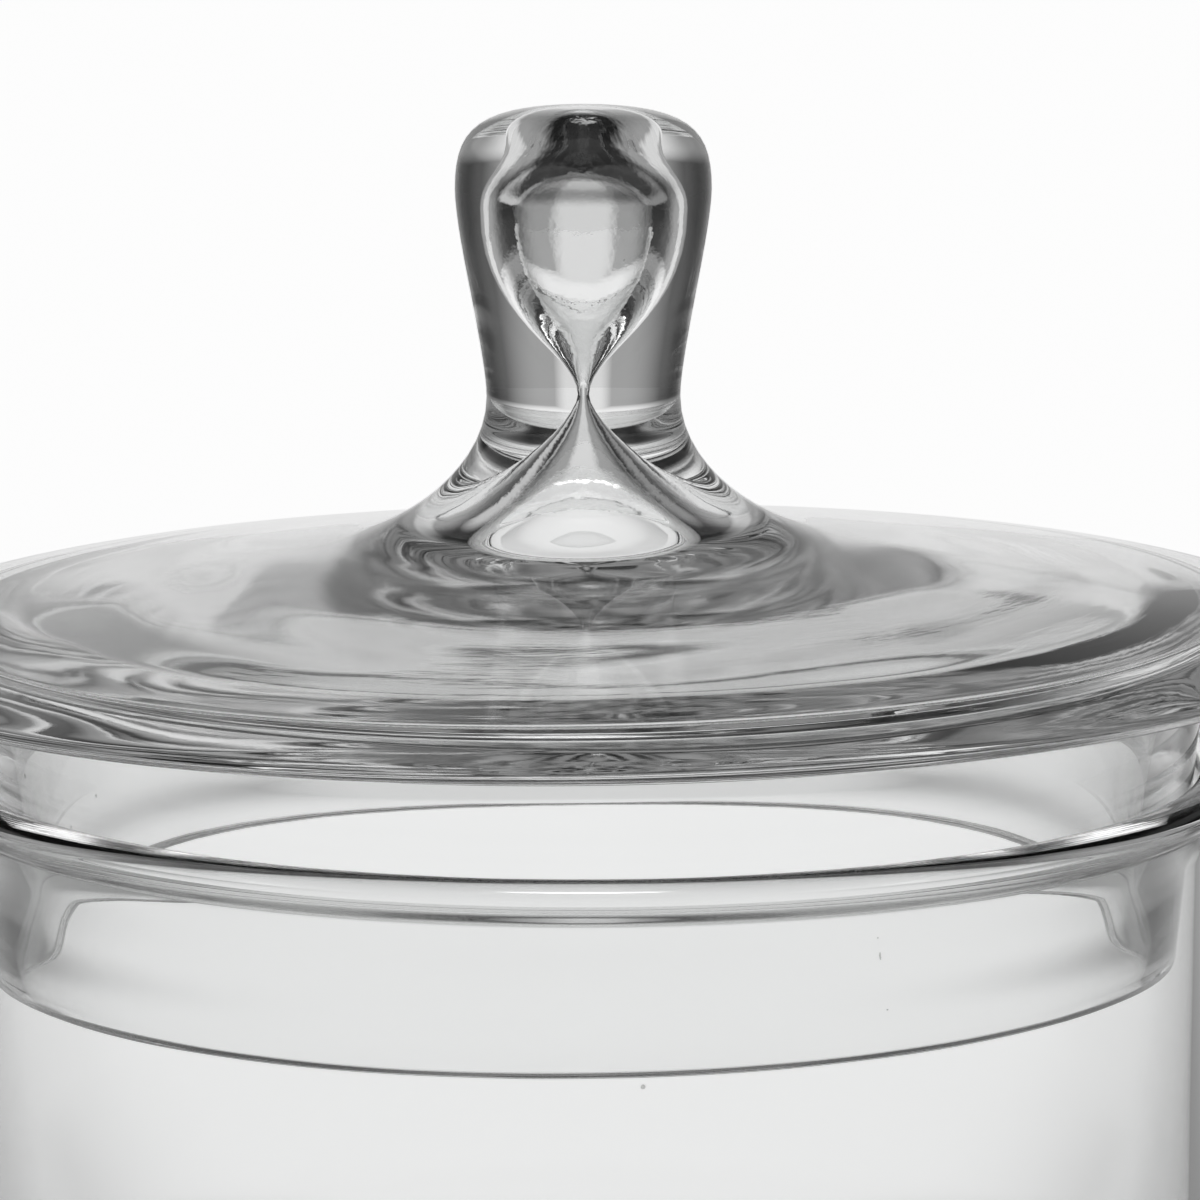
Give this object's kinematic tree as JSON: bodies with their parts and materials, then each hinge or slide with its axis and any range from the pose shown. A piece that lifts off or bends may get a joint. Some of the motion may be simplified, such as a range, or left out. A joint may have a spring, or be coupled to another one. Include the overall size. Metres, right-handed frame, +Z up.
{
  "type": "lidded bowl",
  "caption": "Straight-sided clear blown-glass bowl with a rolled rim, and a blown-glass lid whose tapered collar drops inside the rim and whose hollow knob lifts it.",
  "frame": {"origin": "centre of the bowl's foot, on the plane it stands on", "axes": "+Z up along the axis that the bowl and the lid are turned about"},
  "size_m": [0.18, 0.18, 0.1802],
  "materials": {
    "bowl_glass": "clear colourless blown glass, smooth, fire polished at the rim, ground foot",
    "lid_glass": "clear colourless blown glass with faint turning marks and a cut lower edge"
  },
  "bodies": {
    "bowl": {"bowl": "bowl_glass"},
    "lid": {"lid": "lid_glass"}
  },
  "joints": [
    {"name": "lid_lift", "type": "slide", "parent": "bowl", "child": "lid", "axis": [0, 0, 1], "range_m": [0, 0.08]}
  ]
}
